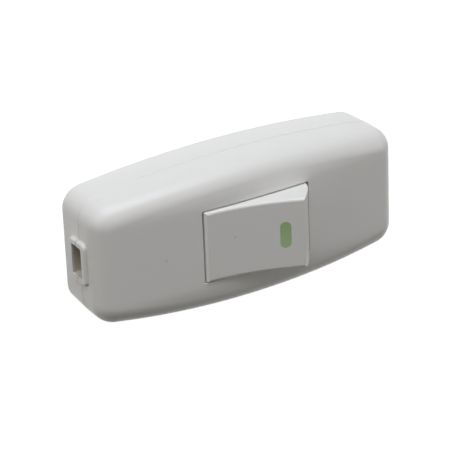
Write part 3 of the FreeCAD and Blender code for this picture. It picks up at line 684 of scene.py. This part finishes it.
def slotted_head(recipe: Recipe) -> bpy.types.NodeSocket:
    """Lay out a screw's head: a drum with a domed top and a slot for the driver.

    Args:
        recipe: The screw's tree.

    Returns:
        The head, standing on z = 0.
    """
    nodes, given = recipe.nodes, recipe.given
    half_height = nodes.times(given["Head Height"], 0.5)
    drum = nodes.add("GeometryNodeMeshCylinder", {
        "Vertices": HEAD_SIDES, "Side Segments": HEAD_RINGS, "Fill Segments": TOP_RINGS,
        "Radius": given["Head Radius"], "Depth": given["Head Height"]}, fill_type="TRIANGLE_FAN")
    place = nodes.spread(nodes.add("GeometryNodeInputPosition").outputs[0])
    squares = nodes.plus(nodes.math("POWER", place["X"], 2.0), nodes.math("POWER", place["Y"], 2.0))
    share = nodes.math("DIVIDE", nodes.math("SQRT", squares), given["Head Radius"])
    upper = nodes.math("MAXIMUM", nodes.math("DIVIDE", place["Z"], half_height), 0.0)
    drop = nodes.times(nodes.times(nodes.math("POWER", share, DOME_POWER), upper), given["Dome"])
    fall = nodes.vector(z=nodes.times(drop, -1.0))
    domed = nodes.add("GeometryNodeSetPosition", {"Geometry": drum.outputs["Mesh"], "Offset": fall})
    size = nodes.vector(nodes.times(given["Head Radius"], CUTTER_REACH), given["Slot Width"],
                        nodes.times(given["Slot Depth"], 2.0))
    cutter = nodes.add("GeometryNodeMeshCube", {"Size": size}).outputs["Mesh"]
    raised = recipe.lifted(cutter, given["Head Height"])
    meshes = {"Mesh 1": recipe.lifted(domed.outputs[0], half_height), "Mesh 2": raised}
    return nodes.add("GeometryNodeMeshBoolean", meshes, operation="DIFFERENCE", solver="EXACT").outputs[0]


def threaded_shank(recipe: Recipe) -> tuple[bpy.types.NodeSocket, bpy.types.NodeSocket]:
    """Lay out a screw's shank: a round core with a thread wound round it.

    Args:
        recipe: The screw's tree.

    Returns:
        The core and the thread, hanging below z = 0.
    """
    nodes, given = recipe.nodes, recipe.given
    length, pitch = given["Shank Length"], given["Pitch"]
    radius = nodes.minus(given["Shank Radius"], given["Thread Depth"])
    core = nodes.add("GeometryNodeMeshCylinder", {"Vertices": CORE_SIDES, "Radius": radius, "Depth": length})
    run = nodes.minus(length, pitch)
    spiral = nodes.add("GeometryNodeCurveSpiral", {
        "Resolution": THREAD_STEPS, "Rotations": nodes.math("DIVIDE", run, pitch),
        "Start Radius": radius, "End Radius": radius, "Height": run}).outputs[0]
    start = nodes.minus(nodes.times(pitch, THREAD_START), length)
    thread = recipe.swept(recipe.lifted(spiral, start), THREAD_SIDES, given["Thread Depth"])
    return recipe.lifted(core.outputs["Mesh"], nodes.times(length, -0.5)), thread


def slotted_screw() -> Recipe:
    """Lay out the tree of a slotted screw.

    Returns:
        The recipe, which puts one screw on each point, with the head's seat there.
    """
    recipe = Recipe("slotted_screw", {
        "Head Radius": 2.0 * MM, "Head Height": 1.2 * MM, "Dome": 0.25 * MM,
        "Slot Width": 0.6 * MM, "Slot Depth": 0.55 * MM,
        "Shank Radius": 1.2 * MM, "Shank Length": 4.0 * MM, "Pitch": 0.5 * MM, "Thread Depth": 0.2 * MM,
    })
    joined = recipe.nodes.add("GeometryNodeJoinGeometry")
    for shape in (slotted_head(recipe), *threaded_shank(recipe)):
        recipe.nodes.feed(joined.inputs[0], shape)
    recipe.end(joined.outputs[0])
    return recipe


def closed_spring() -> Recipe:
    """Lay out the tree of a coil spring whose turns close up towards its ends.

    Returns:
        The recipe, which puts one spring on each point.
    """
    recipe = Recipe("closed_spring", {
        "Coil Radius": 1.1 * MM, "Wire Radius": 0.17 * MM, "Turns": 5.0, "Height": 3.0 * MM, "Evenness": 0.7,
    })
    nodes, given = recipe.nodes, recipe.given
    rod = nodes.add("GeometryNodeCurvePrimitiveLine").outputs[0]
    fine = nodes.add("GeometryNodeResampleCurve", {"Curve": rod, "Count": COIL_STEPS}).outputs[0]
    way = nodes.add("GeometryNodeSplineParameter").outputs["Factor"]
    angle = nodes.times(nodes.times(way, given["Turns"]), math.tau)
    eased = nodes.times(nodes.ramp(way, 0.0, 1.0), nodes.minus(1.0, given["Evenness"]))
    rise = nodes.plus(nodes.times(way, given["Evenness"]), eased)
    coil = nodes.vector(nodes.times(nodes.math("COSINE", angle), given["Coil Radius"]),
                        nodes.times(nodes.math("SINE", angle), given["Coil Radius"]),
                        nodes.times(rise, given["Height"]))
    wound = nodes.add("GeometryNodeSetPosition", {"Geometry": fine, "Position": coil}).outputs[0]
    recipe.end(recipe.swept(wound, WIRE_SIDES, given["Wire Radius"]))
    return recipe


def dress(node: str, finish: bpy.types.Material) -> None:
    """Give a CAD node its finish.

    Args:
        node: Name of the node.
        finish: Material for all of its slots.
    """
    for slot in frame["nodes"][node].material_slots:
        slot.material = finish
    LOG.info("dressed %s", node)


def settle(piece: bpy.types.Object, body: Body, slot: Slot, *nodes: str) -> None:
    """Tie a finished piece to its body and hide the CAD nodes that it stands for.

    Args:
        piece: The piece.
        body: Body that it rides on.
        slot: Not used.
        nodes: CAD nodes that it replaces.
    """
    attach(piece, body.value)
    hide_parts(*nodes)
    LOG.info("built %s with %d faces", piece.name, len(piece.data.polygons))


@dataclass
class Housing:
    """The two shells of the case."""

    shells: tuple[str, ...] = ("front_cover", "back_cover")

    def dress(self, finishes: dict[Slot, bpy.types.Material]) -> None:
        """Paint both shells."""
        for shell in self.shells:
            dress(shell, finishes[Slot.CASE])


@dataclass
class RockerUnit:
    """Rocker cap with its green mark, plunger and spring."""

    pivot: Point = (0.0, 0.0, 10.9 * MM)
    tilt: float = math.radians(-15.5)
    spring_height: float = 2.81 * MM
    coil_radius: float = 1.1 * MM
    wire_radius: float = 0.175 * MM
    turns: float = 5.5
    plunger_travel: float = 0.4 * MM

    def dress(self, finishes: dict[Slot, bpy.types.Material]) -> None:
        """Paint the cap, the mark and the plunger."""
        for node, slot in (("rocker", Slot.ROCKER), ("rocker_mark", Slot.MARK), ("plunger", Slot.PLUNGER)):
            dress(node, finishes[slot])

    def build(self, finishes: dict[Slot, bpy.types.Material]) -> None:
        """Wind the plunger's spring, which stands on the rocker's pivot.

        Args:
            finishes: Slot to its material.
        """
        spring = closed_spring().make("coil_spring", [self.pivot], {
            "Coil Radius": self.coil_radius, "Wire Radius": self.wire_radius, "Turns": self.turns,
            "Height": self.spring_height, "Turn": (0.0, self.tilt, 0.0), "Finish": finishes[Slot.SPRING]})
        settle(spring, Body.ROCKER, Slot.SPRING, "plunger_spring")
        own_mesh(spring)


@dataclass
class ContactWorks:
    """Seesaw contact, terminals and the link of the other conductor."""

    brass: tuple[str, ...] = ("contact_lever", "fixed_terminal", "pivot_terminal", "neutral_link")
    silver: tuple[str, ...] = ("moving_contact", "fixed_contact")
    plated: tuple[str, ...] = ("terminal_washers", "neutral_washers")

    def dress(self, finishes: dict[Slot, bpy.types.Material]) -> None:
        """Paint the metal pieces.

        Args:
            finishes: Slot to its material.
        """
        for names, slot in ((self.brass, Slot.BRASS), (self.silver, Slot.SILVER), (self.plated, Slot.SCREW)):
            for name in names:
                dress(name, finishes[slot])


@dataclass(frozen=True)
class Turned:
    """Radius and length of a screw's head or shank."""

    radius: float
    length: float


@dataclass
class ScrewSet:
    """Screws of one kind that stand for one CAD node."""

    node: str
    seats: list[Point]
    head: Turned
    shank: Turned
    pitch: float
    thread_depth: float
    upside_down: bool = False

    def build(self, recipe: Recipe, finish: bpy.types.Material) -> None:
        """Make the screws and seat them.

        Args:
            recipe: The slotted_screw recipe.
            finish: Material of the screws.
        """
        turn = math.pi if self.upside_down else 0.0
        piece = recipe.make(f"slotted_{self.node}", self.seats, {
            "Head Radius": self.head.radius, "Head Height": self.head.length,
            "Shank Radius": self.shank.radius, "Shank Length": self.shank.length,
            "Pitch": self.pitch, "Thread Depth": self.thread_depth,
            "Turn": (turn, 0.0, 0.0), "Finish": finish})
        settle(piece, Body.CASE, Slot.SCREW, self.node)


@dataclass
class Fasteners:
    """All the screws, seated where the CAD model has them."""

    terminal_reach: float = 12.0 * MM
    terminal_seat: float = 5.3 * MM
    live_side: float = 2.8 * MM
    neutral_side: float = -6.0 * MM
    clamp_reach: float = 24.8 * MM
    clamp_side: float = 5.6 * MM
    clamp_seat: float = 9.6 * MM
    case_reach: float = 18.7 * MM
    case_side: float = 6.6 * MM
    case_seat: float = 2.2 * MM
    terminal_head: Turned = Turned(radius=2.2 * MM, length=1.5 * MM)
    terminal_shank: Turned = Turned(radius=1.25 * MM, length=3.1 * MM)
    clamp_head: Turned = Turned(radius=1.9 * MM, length=1.2 * MM)
    clamp_shank: Turned = Turned(radius=1.1 * MM, length=6.5 * MM)
    case_head: Turned = Turned(radius=2.1 * MM, length=1.6 * MM)
    case_shank: Turned = Turned(radius=1.3 * MM, length=8.8 * MM)
    fine_pitch: float = 0.45 * MM
    coarse_pitch: float = 0.95 * MM
    terminal_thread: float = 0.2 * MM
    clamp_thread: float = 0.3 * MM
    case_thread: float = 0.32 * MM

    def terminal_set(self, node: str, side: float) -> ScrewSet:
        """List the two screws of one conductor.

        Args:
            node: CAD node that they stand for.
            side: Where they sit across the case.

        Returns:
            The set.
        """
        seats = [(end * self.terminal_reach, side, self.terminal_seat) for end in (-1, 1)]
        return ScrewSet(node, seats, self.terminal_head, self.terminal_shank, self.fine_pitch,
                        self.terminal_thread)

    def clamp_set(self) -> ScrewSet:
        """List the four screws of the clamp bars."""
        places = [(end * self.clamp_reach, side * self.clamp_side) for end in (-1, 1) for side in (-1, 1)]
        return ScrewSet("clamp_screws", [(*place, self.clamp_seat) for place in places], self.clamp_head,
                        self.clamp_shank, self.coarse_pitch, self.clamp_thread)

    def case_set(self) -> ScrewSet:
        """List the two screws that join the shells, in opposite corners and with their heads down."""
        seats = [(end * self.case_reach, -end * self.case_side, self.case_seat) for end in (-1, 1)]
        return ScrewSet("case_screws", seats, self.case_head, self.case_shank, self.coarse_pitch,
                        self.case_thread, upside_down=True)

    def build(self, finishes: dict[Slot, bpy.types.Material]) -> None:
        """Make every set from one recipe.

        Args:
            finishes: Slot to its material.
        """
        recipe = slotted_screw()
        terminals = self.terminal_set("terminal_screws", self.live_side)
        neutrals = self.terminal_set("neutral_screws", self.neutral_side)
        for screws in (terminals, neutrals, self.clamp_set(), self.case_set()):
            screws.build(recipe, finishes[Slot.SCREW])


@dataclass
class CordGrips:
    """Clamp bars that hold the flex."""

    bars: tuple[str, ...] = ("cord_clamp_left", "cord_clamp_right")

    def dress(self, finishes: dict[Slot, bpy.types.Material]) -> None:
        """Paint both bars."""
        for bar in self.bars:
            dress(bar, finishes[Slot.CLAMP])


@dataclass(frozen=True)
class Softbox:
    """Rectangular studio light that points at the switch."""

    name: str
    direction: Point
    width: float
    height: float
    power: float
    colour: Colour
    distance: float = 0.60

    def build(self, target: Vector) -> None:
        """Hang the light.

        Args:
            target: Point that it faces.
        """
        lamp = bpy.data.lights.new(self.name, "AREA")
        lamp.shape = "RECTANGLE"
        lamp.size, lamp.size_y = self.width, self.height
        lamp.energy = self.power
        lamp.color = self.colour
        holder = bpy.data.objects.new(self.name, lamp)
        bpy.context.collection.objects.link(holder)
        towards = Vector(self.direction).normalized()
        holder.location = target + towards * self.distance
        holder.rotation_euler = towards.to_track_quat("Z", "Y").to_euler()


@dataclass
class Studio:
    """Camera, lights, floor and surroundings."""

    eye: Point = (-201.693 * MM, 191.460 * MM, 351.808 * MM)
    aim: Point = (-1.729 * MM, -1.213 * MM, 6.676 * MM)
    upward: Point = (0.253, 0.900, -0.356)
    lens: float = 204.23
    nearest: float = 0.01
    farthest: float = 20.0
    floor_size: float = 6.0
    floor_level: float = -0.02 * MM
    floor_tone: float = 0.5
    floor_glow: float = 0.93
    ambient: float = 0.03
    lights: tuple[Softbox, ...] = (
        Softbox("overhead_softbox", direction=(-0.117, 0.954, 0.276), width=0.60, height=0.42, power=3.10,
                colour=(0.916, 0.942, 1.0)),
        Softbox("left_softbox", direction=(-0.847, 0.489, 0.208), width=0.30, height=0.30, power=0.75,
                colour=(1.0, 0.964, 0.870)),
        Softbox("right_fill", direction=(0.838, 0.029, 0.545), width=0.30, height=0.30, power=0.61,
                colour=(1.0, 0.985, 0.950)),
        Softbox("edge_strip", direction=(0.324, 0.360, 0.875), width=0.12, height=0.05, power=0.12,
                colour=(1.0, 0.84, 0.50)),
    )

    def place_camera(self) -> None:
        """Put the camera where the photograph was taken from."""
        camera = bpy.data.cameras.new("photo_camera")
        camera.lens = self.lens
        camera.clip_start, camera.clip_end = self.nearest, self.farthest
        holder = bpy.data.objects.new("photo_camera", camera)
        bpy.context.collection.objects.link(holder)
        back = (Vector(self.eye) - Vector(self.aim)).normalized()
        right = Vector(self.upward).cross(back).normalized()
        turn = Matrix((right, back.cross(right), back)).transposed()
        holder.matrix_world = Matrix.Translation(Vector(self.eye)) @ turn.to_4x4()
        bpy.context.scene.camera = holder

    @staticmethod
    def seen_directly(nodes: Tree) -> bpy.types.NodeSocket:
        """Tell what the camera sees, by itself or in a mirror or glass, from what only lights the scene.

        Args:
            nodes: Helper for the nodes of the floor or the world.

        Returns:
            1 for rays that the camera sees, else 0.
        """
        path = nodes.add("ShaderNodeLightPath").outputs
        mirrored = nodes.math("MAXIMUM", path["Is Glossy Ray"], path["Is Transmission Ray"])
        return nodes.math("MAXIMUM", path["Is Camera Ray"], mirrored)

    def lay_floor(self) -> None:
        """Lay the pale floor, which keeps the switch's soft shadow."""
        half = self.floor_size / 2
        mesh = bpy.data.meshes.new("floor")
        outline = [(x * half, y * half, self.floor_level) for x, y in ((-1, -1), (1, -1), (1, 1), (-1, 1))]
        mesh.from_pydata(outline, [], [(0, 1, 2, 3)])
        floor = bpy.data.objects.new("floor", mesh)
        bpy.context.collection.objects.link(floor)
        material = bpy.data.materials.new("floor_paper")
        material.use_nodes = True
        material.node_tree.nodes.clear()
        nodes = Tree(material.node_tree)
        paper = nodes.add("ShaderNodeBsdfDiffuse", {"Color": opaque((self.floor_tone,) * 3)}).outputs[0]
        glow = nodes.times(self.seen_directly(nodes), self.floor_glow)
        lit = nodes.add("ShaderNodeEmission", {"Strength": glow}).outputs[0]
        both = nodes.add("ShaderNodeAddShader", {0: paper, 1: lit}).outputs[0]
        nodes.add("ShaderNodeOutputMaterial", {"Surface": both})
        mesh.materials.append(material)

    def set_surroundings(self) -> None:
        """Give the world a dim even light that the camera sees as white."""
        world = bpy.data.worlds.new("studio")
        world.use_nodes = True
        world.node_tree.nodes.clear()
        nodes = Tree(world.node_tree)
        dim = nodes.add("ShaderNodeBackground", {"Color": WHITE, "Strength": self.ambient}).outputs[0]
        bright = nodes.add("ShaderNodeBackground", {"Color": WHITE, "Strength": 1.0}).outputs[0]
        mixed = nodes.add("ShaderNodeMixShader", {0: self.seen_directly(nodes), 1: dim, 2: bright})
        nodes.add("ShaderNodeOutputWorld", {"Surface": mixed.outputs[0]})
        bpy.context.scene.world = world

    def build(self) -> None:
        """Set up the whole studio."""
        bpy.context.scene.view_settings.view_transform = "Standard"
        self.place_camera()
        for light in self.lights:
            light.build(Vector(self.aim))
        self.lay_floor()
        self.set_surroundings()


def clear_startup() -> None:
    """Remove what a new Blender file starts with."""
    for item in list(bpy.data.objects):
        if item not in CAD_OBJECTS:
            bpy.data.objects.remove(item)


def main() -> None:
    """Build the studio and every sub-assembly."""
    logging.basicConfig(level=logging.INFO, format="%(name)s: %(message)s")
    clear_startup()
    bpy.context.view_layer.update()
    Studio().build()
    finishes = make_finishes()
    Housing().dress(finishes)
    rocker = RockerUnit()
    rocker.dress(finishes)
    rocker.build(finishes)
    ContactWorks().dress(finishes)
    Fasteners().build(finishes)
    CordGrips().dress(finishes)


if __name__ == "__main__":
    main()
